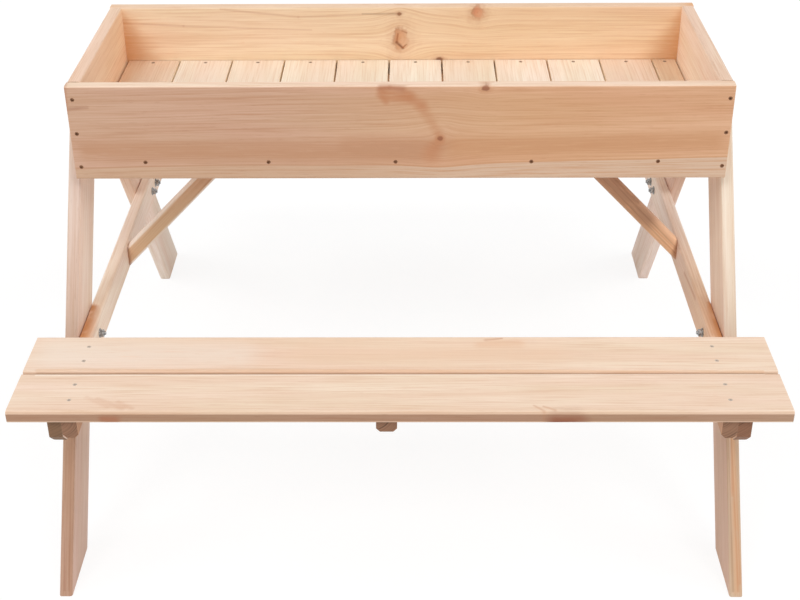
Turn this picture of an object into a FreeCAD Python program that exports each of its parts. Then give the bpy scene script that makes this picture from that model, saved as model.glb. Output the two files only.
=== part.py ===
import FreeCAD, Part
import math
import os

# A child's picnic table with a sandbox for its top and a bench along each long side.
# Sizes are in millimetres. X runs along the benches, Y from the front bench to the rear one, Z is up.
# The origin lies on the ground, under the middle of the sandbox.

Vector = FreeCAD.Vector
X_AXIS = Vector(1, 0, 0)
Y_AXIS = Vector(0, 1, 0)
Z_AXIS = Vector(0, 0, 1)
SIDES = {"left": -1, "right": 1}
ENDS = {"front": -1, "rear": 1}

# Planed timber: one board thickness for the walls, legs, beams and seats
BOARD_THICKNESS = 18.0
BOARD_ROUNDING = 3.0
SEAT_ROUNDING = 4.5
SLAT_BEVEL = 1.0
LEDGER_BEVEL = 2.0
CLEAT_BEVEL = 5.0
BRACE_ROUNDING = 5.0

# Sandbox: the long walls cover the ends of the short ones
TRAY_LENGTH = 904.0
TRAY_DEPTH = 342.0
WALL_HEIGHT = 138.0
RIM_HEIGHT = 620.0
LEDGER_DEPTH = 20.0
LEDGER_HEIGHT = 24.0
LEDGER_ABOVE_WALL_FOOT = 11.5
SLAT_WIDTH = 80.0
SLAT_THICKNESS = 16.0
SLAT_GAP = 2.7
NARROWEST_SLAT = 12.0
END_PLAY = 1.0

# Legs: each pair leans together against a short wall, and is cut to a mitre where the two meet
LEG_WIDTH = 84.0
FOOT_CENTRE = 438.0
LEGS_MEET_BELOW_RIM = 11.0
LEG_TOP_BELOW_RIM = 40.0
MITRE_GAP = 1.0

# Benches: two planks on the beams, tied by cleats
SEAT_LENGTH = 1000.0
SEAT_HEIGHT = 306.0
SEAT_LEG_GAP = 20.4
PLANK_WIDTH = 88.5
PLANK_GAP = 2.5
BEAM_HEIGHT = 45.5
BEAM_SETBACK = 10.0
BEAM_END_CUT = 17.0
END_CLEAT_THICKNESS = 20.0
END_CLEAT_HEIGHT = 30.0
MIDDLE_CLEAT_WIDTH = 27.0
MIDDLE_CLEAT_HEIGHT = 20.0
MIDDLE_CLEAT_OFFSET = 16.0
MIDDLE_CLEAT_SETBACK = 10.0
CLEAT_INNER_SETBACK = 10.0

# Braces: from the middle of each beam up to the batten under the floor, the right one set higher
BRACE_WIDTH = 24.0
BRACE_THICKNESS = 20.0
BRACE_ANGLE = 46.0
BRACE_OFFSET = 8.0
BRACE_RAISE = {"left": -2.0, "right": 8.0}

# Screws and bolts are drawn with flat sides
SCREW_SIDES = 6
SCREW_RADIUS = 2.0
SCREW_HEAD_RADIUS = 3.1
SCREW_HEAD_DEPTH = 2.0
SCREW_CLEARANCE = 1.0
TIP_COVER = 4.0
END_GRAIN_BITE = 32.0
CORNER_SCREW_MARGIN = 19.0
CORNER_SCREW_INSET = {"left": 9.0, "right": 6.0}
LEDGER_SCREW_PLACES = (-353.0, -182.0, -6.0, 182.0, 357.0)
LEDGER_SCREW_RAISE = 2.5
SEAT_SCREW_SPACING = 35.0
LEG_SCREW_MARGIN = 24.0
BRACE_SCREW_BITE = 12.0
BOLT_SIDES = 8
BOLT_RADIUS = 3.0
BOLT_HEAD_RADIUS = 7.5
BOLT_SHOULDER_RADIUS = 6.4
BOLT_CROWN_RADIUS = 3.8
BOLT_HEAD_HEIGHT = 3.4
BOLT_SPACING = 34.0
BOLT_TAIL = 2.5
WASHER_RADIUS = 7.0
WASHER_THICKNESS = 1.6
NUT_RADIUS = 5.8
NUT_HEIGHT = 5.0
NUT_SIDES = 6

# Places that several pieces share
wall_face = TRAY_LENGTH / 2
wall_inside = wall_face - BOARD_THICKNESS
tray_front = TRAY_DEPTH / 2
tray_inside = tray_front - BOARD_THICKNESS
wall_foot = RIM_HEIGHT - WALL_HEIGHT
wall_middle = RIM_HEIGHT - WALL_HEIGHT / 2
ledger_middle = wall_foot + LEDGER_ABOVE_WALL_FOOT + LEDGER_HEIGHT / 2
ledger_screw_height = ledger_middle + LEDGER_SCREW_RAISE
floor_underside = ledger_middle + LEDGER_HEIGHT / 2
floor_top = floor_underside + SLAT_THICKNESS
legs_meet = RIM_HEIGHT - LEGS_MEET_BELOW_RIM
leg_top = RIM_HEIGHT - LEG_TOP_BELOW_RIM
leg_lean = math.atan2(FOOT_CENTRE, legs_meet)
foot_length = LEG_WIDTH / math.cos(leg_lean)
seat_underside = SEAT_HEIGHT - BOARD_THICKNESS
beam_middle = seat_underside - BEAM_HEIGHT / 2
brace_front = BRACE_OFFSET - BRACE_THICKNESS / 2
batten_centre = BRACE_OFFSET + (BRACE_THICKNESS + LEDGER_DEPTH) / 2
brace_rise = math.tan(math.radians(BRACE_ANGLE))
brace_half_cut = BRACE_WIDTH / 2 / math.cos(math.radians(BRACE_ANGLE))


def leg_centre(height):
    """Distance of a leg's middle line from the middle of the table, at a height."""
    return FOOT_CENTRE * (1 - height / legs_meet)


def brace_foot(name):
    """Height of the middle of a brace's foot."""
    return beam_middle + BRACE_RAISE[name]


def brace_inset(name, height):
    """Distance of a brace's middle line from its beam, at a height."""
    return (height - brace_foot(name)) / brace_rise


seat_inner = leg_centre(seat_underside) + foot_length / 2 + SEAT_LEG_GAP
seat_outer = seat_inner + 2 * PLANK_WIDTH + PLANK_GAP
plank_middles = {
    "inner": seat_inner + PLANK_WIDTH / 2,
    "outer": seat_outer - PLANK_WIDTH / 2,
}


def arrises(block, grain):
    """The edges of a block that run along its grain."""
    return [edge for edge in block.Edges if abs(edge.tangentAt(edge.FirstParameter).dot(grain)) > 0.99]


def block_at(size, centre):
    return Part.makeBox(size.x, size.y, size.z, centre - size * 0.5)


def sawn(outline, thickness):
    """A board sawn to an outline."""
    return Part.Face(Part.makePolygon(outline + outline[:1])).extrude(thickness)


def rounded_board(size, centre, grain, rounding=BOARD_ROUNDING):
    """A planed board with its long edges rounded over."""
    block = block_at(size, centre)
    return block.makeFillet(rounding, arrises(block, grain))


def bevelled_batten(size, centre, grain, bevel):
    """A sawn batten with its long edges bevelled."""
    block = block_at(size, centre)
    return block.makeChamfer(bevel, arrises(block, grain))


def turned(profile, sides):
    """A solid of flat-sided rings; the profile lists each ring's radius and height."""
    angles = [2 * math.pi * step / sides for step in range(sides + 1)]
    rings = []
    for radius, height in profile:
        rings.append([Vector(radius * math.cos(a), radius * math.sin(a), height) for a in angles])
    faces = [Part.Face(Part.makePolygon(ring)) for ring in (rings[0], rings[-1])]
    for near, far in zip(rings, rings[1:]):
        for step in range(sides):
            corners = [near[step], near[step + 1], far[step + 1], far[step], near[step]]
            faces.append(Part.Face(Part.makePolygon(corners)))
    shell = Part.makeShell(faces)
    shell.sewShape()
    return Part.makeSolid(shell)


def driven(shape, start, direction):
    """Turns a shape made along Z to run from a start point in a direction."""
    shape.Placement = FreeCAD.Placement(start, FreeCAD.Rotation(Z_AXIS, direction))
    return shape


def screw(head, direction, length):
    """A countersunk screw whose head lies flush at a point."""
    profile = [(SCREW_HEAD_RADIUS, 0), (SCREW_RADIUS, SCREW_HEAD_DEPTH), (SCREW_RADIUS, length)]
    return driven(turned(profile, SCREW_SIDES), head, direction)


def walls():
    """The four boards of the sandbox."""
    boards = {}
    long_wall = Vector(TRAY_LENGTH, BOARD_THICKNESS, WALL_HEIGHT)
    short_wall = Vector(BOARD_THICKNESS, 2 * tray_inside, WALL_HEIGHT)
    for name, end in ENDS.items():
        centre = Vector(0, end * (tray_front - BOARD_THICKNESS / 2), wall_middle)
        boards[name + "_board"] = rounded_board(long_wall, centre, X_AXIS)
    for name, side in SIDES.items():
        centre = Vector(side * (wall_face - BOARD_THICKNESS / 2), 0, wall_middle)
        boards[name + "_side_board"] = rounded_board(short_wall, centre, Y_AXIS)
    return boards


def floor_bearers():
    """The ledgers that carry the slats' ends, and the batten under their middle."""
    bearers = {}
    size = Vector(2 * (wall_inside - END_PLAY), LEDGER_DEPTH, LEDGER_HEIGHT)
    for name, end in ENDS.items():
        centre = Vector(0, end * (tray_inside - LEDGER_DEPTH / 2), ledger_middle)
        bearers[name + "_ledger"] = bevelled_batten(size, centre, X_AXIS, LEDGER_BEVEL)
    centre = Vector(0, batten_centre, ledger_middle)
    bearers["centre_batten"] = bevelled_batten(size, centre, X_AXIS, LEDGER_BEVEL)
    return bearers


def slat_spans():
    """The middle and width of each floor slat, from the left: full ones, then one cut to what is left."""
    pitch = SLAT_WIDTH + SLAT_GAP
    room = 2 * wall_inside - SLAT_GAP
    count = int(room // pitch)
    first = -wall_inside + SLAT_GAP + SLAT_WIDTH / 2
    spans = [(first + step * pitch, SLAT_WIDTH) for step in range(count)]
    narrow = room - count * pitch - SLAT_GAP
    if narrow >= NARROWEST_SLAT:
        spans.append((wall_inside - SLAT_GAP - narrow / 2, narrow))
    return spans


def floor_slats():
    """The sandbox floor."""
    slats = {}
    for number, (middle, width) in enumerate(slat_spans(), start=1):
        size = Vector(width, 2 * (tray_inside - END_PLAY), SLAT_THICKNESS)
        centre = Vector(middle, 0, floor_top - SLAT_THICKNESS / 2)
        slats["floor_slat_%02d" % number] = bevelled_batten(size, centre, Y_AXIS, SLAT_BEVEL)
    return slats


def leg(side, end):
    """A leaning board, cut flat at the foot and top and to a mitre beside its partner."""
    foot = [FOOT_CENTRE - foot_length / 2, FOOT_CENTRE + foot_length / 2]
    shift = leg_centre(leg_top) - FOOT_CENTRE
    face = side * wall_face
    outline = [
        Vector(face, end * foot[0], 0),
        Vector(face, end * foot[1], 0),
        Vector(face, end * (foot[1] + shift), leg_top),
        Vector(face, end * (foot[0] + shift), leg_top),
    ]
    blank = sawn(outline, X_AXIS * side * BOARD_THICKNESS)
    grain = Vector(0, -end * math.sin(leg_lean), math.cos(leg_lean))
    blank = blank.makeFillet(BOARD_ROUNDING, arrises(blank, grain))
    own_half = Vector(2 * TRAY_LENGTH, foot[1], leg_top)
    return blank.common(block_at(own_half, Vector(0, end * (foot[1] + MITRE_GAP) / 2, leg_top / 2)))


def legs():
    boards = {}
    for end_name, end in ENDS.items():
        for side_name, side in SIDES.items():
            boards["%s_%s_leg" % (end_name, side_name)] = leg(side, end)
    return boards


def seat_beams():
    """The beams that tie each pair of legs and carry both benches, their ends cut off below."""
    beams = {}
    half = seat_outer - BEAM_SETBACK
    low = seat_underside - BEAM_HEIGHT
    corners = [
        (-half, seat_underside),
        (half, seat_underside),
        (half, low + BEAM_END_CUT),
        (half - BEAM_END_CUT, low),
        (BEAM_END_CUT - half, low),
        (-half, low + BEAM_END_CUT),
    ]
    for name, side in SIDES.items():
        outline = [Vector(side * wall_inside, y, z) for y, z in corners]
        beam = sawn(outline, X_AXIS * side * BOARD_THICKNESS)
        beams[name + "_seat_beam"] = beam.makeFillet(BOARD_ROUNDING, arrises(beam, Y_AXIS))
    return beams


def braces():
    """Sloping struts, cut upright against the beam and level under the floor."""
    struts = {}
    top = floor_underside - END_PLAY
    for name, side in SIDES.items():
        low = brace_foot(name) - brace_half_cut
        high = brace_foot(name) + brace_half_cut
        corners = [
            (wall_inside, low),
            (wall_inside, high),
            (wall_inside - (top - high) / brace_rise, top),
            (wall_inside - (top - low) / brace_rise, top),
        ]
        outline = [Vector(side * x, brace_front, z) for x, z in corners]
        strut = sawn(outline, Y_AXIS * BRACE_THICKNESS)
        grain = Vector(-side, 0, brace_rise).normalize()
        struts[name + "_brace"] = strut.makeFillet(BRACE_ROUNDING, arrises(strut, grain))
    return struts


def bench(name, end):
    """One bench: two planks, a cleat beside each beam, and a middle cleat."""
    timbers = {}
    plank = Vector(SEAT_LENGTH, PLANK_WIDTH, BOARD_THICKNESS)
    for place, middle in plank_middles.items():
        centre = Vector(0, end * middle, SEAT_HEIGHT - BOARD_THICKNESS / 2)
        timbers["%s_seat_%s_plank" % (name, place)] = rounded_board(plank, centre, X_AXIS, SEAT_ROUNDING)
    inner = seat_inner + CLEAT_INNER_SETBACK
    outer = seat_outer - BEAM_SETBACK
    size = Vector(END_CLEAT_THICKNESS, outer - inner, END_CLEAT_HEIGHT)
    for side_name, side in SIDES.items():
        across = side * (wall_inside - END_CLEAT_THICKNESS / 2)
        centre = Vector(across, end * (inner + outer) / 2, seat_underside - END_CLEAT_HEIGHT / 2)
        cleat = bevelled_batten(size, centre, Y_AXIS, CLEAT_BEVEL)
        timbers["%s_seat_%s_cleat" % (name, side_name)] = cleat
    outer = seat_outer - MIDDLE_CLEAT_SETBACK
    size = Vector(MIDDLE_CLEAT_WIDTH, outer - inner, MIDDLE_CLEAT_HEIGHT)
    across = end * MIDDLE_CLEAT_OFFSET
    centre = Vector(across, end * (inner + outer) / 2, seat_underside - MIDDLE_CLEAT_HEIGHT / 2)
    timbers[name + "_seat_middle_cleat"] = bevelled_batten(size, centre, Y_AXIS, CLEAT_BEVEL)
    return timbers


def corner_screws():
    """Three screws through each end of the long walls into the short walls' end grain."""
    screws = []
    spread = WALL_HEIGHT / 2 - CORNER_SCREW_MARGIN
    for name, side in SIDES.items():
        for end in ENDS.values():
            for height in (wall_middle - spread, wall_middle, wall_middle + spread):
                head = Vector(side * (wall_face - CORNER_SCREW_INSET[name]), end * tray_front, height)
                screws.append(screw(head, Y_AXIS * -end, BOARD_THICKNESS + END_GRAIN_BITE))
    return screws


def ledger_screws():
    """A row of screws through each long wall into its ledger."""
    screws = []
    length = BOARD_THICKNESS + LEDGER_DEPTH - TIP_COVER
    for end in ENDS.values():
        for place in LEDGER_SCREW_PLACES:
            head = Vector(-end * place, end * tray_front, ledger_screw_height)
            screws.append(screw(head, Y_AXIS * -end, length))
    return screws


def slat_screws():
    """A screw at each end of each slat, short enough to stop above the ledger's own screws."""
    screws = []
    length = floor_top - ledger_screw_height - SCREW_RADIUS - SCREW_CLEARANCE
    for middle, _ in slat_spans():
        for end in ENDS.values():
            head = Vector(middle, end * (tray_inside - LEDGER_DEPTH / 2), floor_top)
            screws.append(screw(head, Z_AXIS * -1, length))
    return screws


def batten_screws():
    """A screw through each short wall into the centre batten's end."""
    screws = []
    for side in SIDES.values():
        head = Vector(side * wall_face, batten_centre, ledger_middle)
        screws.append(screw(head, X_AXIS * -side, BOARD_THICKNESS + END_GRAIN_BITE))
    return screws


def leg_screws():
    """Two screws on each leg's middle line, into the short wall behind it."""
    screws = []
    for side in SIDES.values():
        for end in ENDS.values():
            for height in (wall_foot + LEG_SCREW_MARGIN, leg_top - LEG_SCREW_MARGIN):
                head = Vector(side * (wall_face + BOARD_THICKNESS), end * leg_centre(height), height)
                screws.append(screw(head, X_AXIS * -side, 2 * BOARD_THICKNESS - TIP_COVER))
    return screws


def brace_screws():
    """One screw through the beam into each brace's foot, one through its head into the batten."""
    screws = []
    for name, side in SIDES.items():
        foot = Vector(side * wall_face, BRACE_OFFSET, brace_foot(name) + brace_half_cut / 4)
        screws.append(screw(foot, X_AXIS * -side, BOARD_THICKNESS + BRACE_SCREW_BITE))
        across = side * (wall_inside - brace_inset(name, ledger_middle))
        head = Vector(across, brace_front, ledger_middle)
        screws.append(screw(head, Y_AXIS, BRACE_THICKNESS + LEDGER_DEPTH - TIP_COVER))
    return screws


def seat_screws():
    """Two screws through each end of each plank into the end cleat below."""
    screws = []
    length = BOARD_THICKNESS + END_CLEAT_HEIGHT - TIP_COVER
    for end in ENDS.values():
        for side in SIDES.values():
            for middle in plank_middles.values():
                for offset in (-SEAT_SCREW_SPACING / 2, SEAT_SCREW_SPACING / 2):
                    across = side * (wall_inside - END_CLEAT_THICKNESS / 2)
                    head = Vector(across, end * (middle + offset), SEAT_HEIGHT)
                    screws.append(screw(head, Z_AXIS * -1, length))
    return screws


def cleat_screws():
    """Screws at each plank's middle: from the end cleats into the beams, and up through the middle cleats."""
    screws = []
    into_beam = END_CLEAT_THICKNESS + BOARD_THICKNESS - TIP_COVER
    into_plank = MIDDLE_CLEAT_HEIGHT + BOARD_THICKNESS - TIP_COVER
    for end in ENDS.values():
        for middle in plank_middles.values():
            for side in SIDES.values():
                across = side * (wall_inside - END_CLEAT_THICKNESS)
                head = Vector(across, end * middle, seat_underside - END_CLEAT_HEIGHT / 2)
                screws.append(screw(head, X_AXIS * side, into_beam))
            head = Vector(end * MIDDLE_CLEAT_OFFSET, end * middle, seat_underside - MIDDLE_CLEAT_HEIGHT)
            screws.append(screw(head, Z_AXIS, into_plank))
    return screws


def bolt_places():
    """Where each bolt enters its leg, and the way it points: two at each crossing of leg and beam."""
    places = []
    for side in SIDES.values():
        for end in ENDS.values():
            for offset in (-BOLT_SPACING / 2, BOLT_SPACING / 2):
                along = end * (leg_centre(beam_middle) + offset)
                start = Vector(side * (wall_face + BOARD_THICKNESS), along, beam_middle)
                places.append((start, X_AXIS * -side))
    return places


def bolt(start, direction):
    """A round-headed bolt through leg, beam, washer and nut."""
    length = 2 * BOARD_THICKNESS + WASHER_THICKNESS + NUT_HEIGHT + BOLT_TAIL
    profile = [
        (BOLT_CROWN_RADIUS, -BOLT_HEAD_HEIGHT),
        (BOLT_SHOULDER_RADIUS, -BOLT_HEAD_HEIGHT / 2),
        (BOLT_HEAD_RADIUS, 0),
        (BOLT_RADIUS, 0),
        (BOLT_RADIUS, length),
    ]
    return driven(turned(profile, BOLT_SIDES), start, direction)


def ring_on_bolt(radius, sides, thickness, start, direction):
    """A washer or nut that fits round a bolt, made against a start point."""
    outside = turned([(radius, 0), (radius, thickness)], sides)
    hole = turned([(BOLT_RADIUS, 0), (BOLT_RADIUS, thickness)], BOLT_SIDES)
    return driven(outside.cut(hole).Solids[0], start, direction)


def bolt_sets():
    """The bolts with their washers and nuts on the beams' inner faces."""
    sets = {"bolts": [], "washers": [], "nuts": []}
    for start, direction in bolt_places():
        seat = start + direction * (2 * BOARD_THICKNESS)
        sets["bolts"].append(bolt(start, direction))
        sets["washers"].append(
            ring_on_bolt(WASHER_RADIUS, BOLT_SIDES, WASHER_THICKNESS, seat, direction)
        )
        seat = seat + direction * WASHER_THICKNESS
        sets["nuts"].append(ring_on_bolt(NUT_RADIUS, NUT_SIDES, NUT_HEIGHT, seat, direction))
    return sets


def bored(timber, fasteners):
    """A timber with a hole for each fastener that passes into it."""
    near = [item for item in fasteners if item.BoundBox.intersect(timber.BoundBox)]
    return timber.cut(near) if near else timber


timbers = {}
timbers.update(walls())
timbers.update(floor_bearers())
timbers.update(floor_slats())
timbers.update(legs())
timbers.update(seat_beams())
timbers.update(braces())
for end_name, end_sign in ENDS.items():
    timbers.update(bench(end_name, end_sign))

fasteners = {
    "corner_screws": corner_screws(),
    "ledger_screws": ledger_screws(),
    "slat_screws": slat_screws(),
    "batten_screws": batten_screws(),
    "leg_screws": leg_screws(),
    "brace_screws": brace_screws(),
    "seat_screws": seat_screws(),
    "cleat_screws": cleat_screws(),
}
fasteners.update(bolt_sets())

every_fastener = [item for group in fasteners.values() for item in group]
os.makedirs("parts", exist_ok=True)
for node, timber in timbers.items():
    bored(timber, every_fastener).exportStep("parts/%s.step" % node)
for node, group in fasteners.items():
    Part.makeCompound(group).exportStep("parts/%s.step" % node)
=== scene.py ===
import math
import random
from collections import namedtuple

import bmesh
import bpy
from mathutils import Matrix, Vector


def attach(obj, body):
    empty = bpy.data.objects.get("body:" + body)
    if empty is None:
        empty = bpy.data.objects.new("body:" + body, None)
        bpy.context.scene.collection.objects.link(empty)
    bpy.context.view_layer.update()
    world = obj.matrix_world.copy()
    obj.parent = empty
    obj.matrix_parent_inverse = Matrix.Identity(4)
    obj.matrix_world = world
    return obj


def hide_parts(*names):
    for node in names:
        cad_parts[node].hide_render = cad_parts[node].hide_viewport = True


# A child's picnic table with a sandbox for its top, dressed in planed, unpainted pine.
# Sizes are in metres. X runs along the benches, Y from the front bench to the rear one, Z is up.

X_AXIS = Vector((1, 0, 0))
Y_AXIS = Vector((0, 1, 0))
Z_AXIS = Vector((0, 0, 1))
SIDES = {"left": -1, "right": 1}
ENDS = {"front": -1, "rear": 1}
SLAT_COUNT = 11
BODY = "root"

# Camera
PHOTO_WIDTH = 800
FOCAL_PIXELS = 1359.9
CAMERA_PLACE = Vector((0.0188, -1.8861, 1.3103))
CAMERA_PITCH = math.radians(30.87)
CAMERA_YAW = math.radians(-0.665)
CAMERA_ROLL = math.radians(-0.40)
SENSOR_WIDTH = 36.0

# Light: an even sky, two broad lamps beside the camera and two at the table's ends
SKY_STRENGTH = 0.52
KEY_STRENGTH = 0.64
KEY_AZIMUTH = math.radians(34)
KEY_ELEVATION = math.radians(46)
SIDE_STRENGTH = 0.55
SIDE_AZIMUTH = math.radians(88)
SIDE_ELEVATION = math.radians(34)
LAMP_SPREAD = math.radians(22)
FLOOR_SIZE = 40.0
FLOOR_DROP = 0.0003
FLOOR_BOUNCE = 0.88
FLOOR_GLOW = 0.86
FLOOR_SHADE = 0.17

# Slopes of the leaning boards
LEG_RUN = 0.438
LEG_RISE = 0.609
LEG_LEAN = math.atan2(LEG_RUN, LEG_RISE)
BRACE_ANGLE = math.radians(46)

# Where marks lie on narrow faces, and a plank's end, from the middle of the board
LEG_FACE = 0.0418
BEAM_TOP = 0.023
BEAM_CORNER = 0.0225
BEAM_SIDE = 0.0088
PLANK_EDGE = -0.044
PLANK_FACE = -0.0445
PLANK_END = 0.48

# Fasteners
SCREW_PROUD = 0.00015
SCREW_BEVEL = 0.0004
SCREW_HEAD_DEPTH = 0.0024
SCREW_THREAD_PITCH = 0.0024
SCREW_TIP = 0.005
BOLT_THREAD_PITCH = 0.001
BOLT_THREAD_LENGTH = 0.016
BOLT_THREAD_DEPTH = 0.00035
NUT_CHAMFER_DROP = 0.0002
FASTENER_SIDES = 24
FASTENER_ANGLES = [2 * math.pi * number / FASTENER_SIDES for number in range(FASTENER_SIDES)]
DOME_STEPS = 6
SHARP_ANGLE = math.radians(35)
SAME_PLACE = 1e-6

# Shares of a screw head's radius, and of its recess at the recess's foot
RECESS_HALF_WIDTH = 0.17
RECESS_REACH = 0.58
RECESS_DEPTH = 0.5
SHANK_SHARE = 0.5
CORE_SHARE = 0.34
RECESS_FOOT_WIDTH = 0.7
RECESS_FOOT_REACH = 0.6

# Shares of a bolt's head, of its shank and of a nut
DOME_SHARE = 0.9
BOLT_TIP_SHARE = 0.8
NUT_FACE_SHARE = 0.96
NUT_HOLE_EASE = 0.12

# A corner this far out belongs to a bolt's head, and this far down to its shank's end
HEAD_REACH = 0.98
SHANK_DEPTH = 0.9


def srgb(red, green, blue):
    """A colour given by its values on a screen, as the linear one that shaders take."""
    def linear(value):
        value = value / 255
        return value / 12.92 if value <= 0.04045 else ((value + 0.055) / 1.055) ** 2.4
    return (linear(red), linear(green), linear(blue), 1.0)


# Wood tones
FRONT_TONE = srgb(211, 173, 148)
FRONT_RIGHT_TONE = srgb(223, 178, 142)
FRONT_LOW_TONE = srgb(197, 149, 116)
FRONT_LOW_RIGHT_TONE = srgb(206, 154, 114)
SAP_TONE = srgb(211, 178, 150)
SAP_RIGHT_TONE = srgb(221, 194, 170)
FRONT_RIM_TONE = srgb(244, 219, 196)
REAR_TONE = srgb(253, 229, 199)
REAR_RIGHT_TONE = srgb(252, 221, 187)
REAR_RIM_TONE = srgb(236, 205, 178)
LEFT_WALL_TONE = srgb(245, 215, 186)
# Painted shade: the left wall turns darker and more orange towards its rear corner.
LEFT_WALL_REAR_PAINTED_SHADE_TONE = srgb(241, 207, 174)
LEFT_RIM_TONE = srgb(241, 212, 189)
RIGHT_WALL_TONE = srgb(255, 233, 214)
RIGHT_RIM_TONE = srgb(235, 206, 184)
SLAT_TONE = srgb(246, 232, 215)
# Painted light: the slats' narrow faces are paler, lifting the shade in the gaps between them.
SLAT_GAP_PAINTED_LIGHT_TONE = srgb(255, 238, 214)
# Painted shade: the slats beside the left and right walls take darker tones.
FIRST_SLAT_PAINTED_SHADE_TONE = srgb(234, 211, 187)
TENTH_SLAT_PAINTED_SHADE_TONE = srgb(240, 218, 197)
LAST_SLAT_PAINTED_SHADE_TONE = srgb(234, 205, 178)
SEAT_TONE = srgb(243, 220, 200)
SEAT_PALE_TONE = srgb(242, 226, 210)
SEAT_WARM_TONE = srgb(238, 208, 181)
# A painted highlight along the outer front plank's rear edge.
SEAT_PAINTED_HIGHLIGHT_TONE = srgb(255, 240, 222)
# Painted shade: the seat planks' long narrow faces and their roundings take darker tones where less light
# falls on them.
SEAT_FACE_PAINTED_SHADE_TONE = srgb(181, 145, 121)
SEAT_ROUNDING_PAINTED_SHADE_TONE = srgb(226, 196, 172)
LEFT_LEG_TONE = srgb(252, 232, 216)
RIGHT_LEG_TONE = srgb(244, 218, 198)
# Painted shade under the bench: the front legs are darker towards their feet.
LEFT_FOOT_PAINTED_SHADE_TONE = srgb(224, 197, 183)
RIGHT_FOOT_PAINTED_SHADE_TONE = srgb(218, 188, 168)
LEFT_LEG_EDGE_TONE = srgb(226, 205, 191)
# Painted shade on the front legs' narrow faces near their feet.
LEFT_FOOT_EDGE_PAINTED_SHADE_TONE = srgb(186, 151, 129)
RIGHT_LEG_EDGE_TONE = srgb(242, 223, 206)
RIGHT_FOOT_EDGE_PAINTED_SHADE_TONE = srgb(203, 180, 156)
REAR_LEFT_LEG_TONE = srgb(255, 239, 227)
REAR_LEFT_LEG_TOP_TONE = srgb(238, 202, 176)
REAR_RIGHT_LEG_TONE = srgb(255, 237, 226)
REAR_RIGHT_LEG_TOP_TONE = srgb(224, 184, 158)
LEFT_BEAM_TONE = srgb(254, 234, 218)
RIGHT_BEAM_TONE = srgb(231, 194, 166)
RIGHT_BEAM_REAR_TONE = srgb(250, 235, 222)
LEFT_BRACE_TONE = srgb(231, 195, 160)
LEFT_BRACE_TOP_TONE = srgb(208, 158, 127)
# A painted highlight on the left brace's narrow faces.
BRACE_PAINTED_HIGHLIGHT_TONE = srgb(251, 234, 220)
RIGHT_BRACE_TONE = srgb(250, 202, 164)
RIGHT_BRACE_TOP_TONE = srgb(204, 156, 128)
BRACE_SHADE_TONE = srgb(186, 142, 114)
CLEAT_TONE = srgb(205, 162, 130)
# Dark end grain, darkened further as painted shade under the seat planks.
LEFT_END_GRAIN_AND_SHADE_TONE = srgb(126, 95, 70)
RIGHT_END_GRAIN_AND_SHADE_TONE = srgb(138, 97, 73)
CLEAT_END_GRAIN_AND_SHADE_TONE = srgb(146, 108, 84)
KNOT_RIM_TONE = srgb(132, 78, 52)
PALE_KNOT_TONE = srgb(223, 168, 127)
ROUND_KNOT_TONE = srgb(224, 156, 118)
PALE_KNOT_RIM_TONE = srgb(176, 112, 74)
RESIN_TONE = srgb(196, 134, 94)
ORANGE_TONE = srgb(222, 168, 120)
# Warm painted shade: on the seat beams' tops near the front legs, and along the left wall on the first floor
# slat.
WARM_PAINTED_SHADE_TONE = srgb(204, 142, 94)
# Painted shade in the rear board's corners.
PAINTED_CORNER_SHADE_TONE = srgb(220, 156, 100)
RED_TONE = srgb(172, 106, 74)
SCAR_TONE = srgb(150, 92, 66)
SHADE_TONE = srgb(150, 104, 74)

# Shares of a board's tone that its parts take
PALE_SHARE = (1.045, 1.075, 1.10)
DEEP_SHARE = (0.955, 0.91, 0.87)
LATE_SHARE = (0.80, 0.65, 0.52)
PINK_SHARE = (1.012, 0.982, 0.992)
OLIVE_SHARE = (0.985, 1.008, 0.975)
END_SHARE = (0.62, 0.55, 0.48)

# The middle value of noise
NOISE_MIDDLE = 0.5

# Growth rings: how they wander and drift, and where late wood darkens each of them
WANDER_SCALE = (1.7, 5, 5)
WANDER_REACH = (0, 0.016, 0.016)
DRIFT_SCALE = 75.0
DRIFT_REACH = 0.006
LATE_RISE = (0.2, 0.88)
LATE_FALL = (1.0, 0.9)
RING_CHANCE_STEP = 0.37
RING_CHANCE = (0.25, 0.75)

# Bands of tone that follow the rings
BAND_SCALE = (1.6, 38.0, 1.0)
BAND_DETAIL = 4.0
BAND_ROUGHNESS = 0.6
BAND_RANGE = (0.3, 0.7)

# Sapwood's border and the dark line on it
SAP_BORDER = (0.0, 0.0018)
SAP_SHARE = 0.9
SAP_LINE = (0.0017, 0.0003)
SAP_LINE_SHARE = 0.55

# End grain, by how far the surface has turned to face along the grain
END_TURN = (0.45, 0.65)
END_RING_GAIN = -0.75
END_RING_BASE = 1.12

# Rubbed edges: paler and duller, the paler line being also a painted highlight along the arrises
RUB_SCALE = (40, 40, 40)
RUB_DETAIL = 3.0
RUB_DEPTH = 0.003
RUB_BORDER = (0.0034, 0.0012)
RUB_AND_HIGHLIGHT_SHARE = 0.35
RUB_END_LOSS = -0.3

# Each board is cut from its own place in the wood
SEED_RANGE = (1, 9)

# The wood's finish
WOOD_SHINE = 0.3
WOOD_RELIEF = {"Strength": 0.35, "Distance": 0.0004}
LATE_RELIEF = 0.6
FIBRE_RELIEF = 0.7
WOOD_ROUGHNESS = 0.5
FIBRE_ROUGHNESS = 0.22
RUB_ROUGHNESS = 0.1

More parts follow.
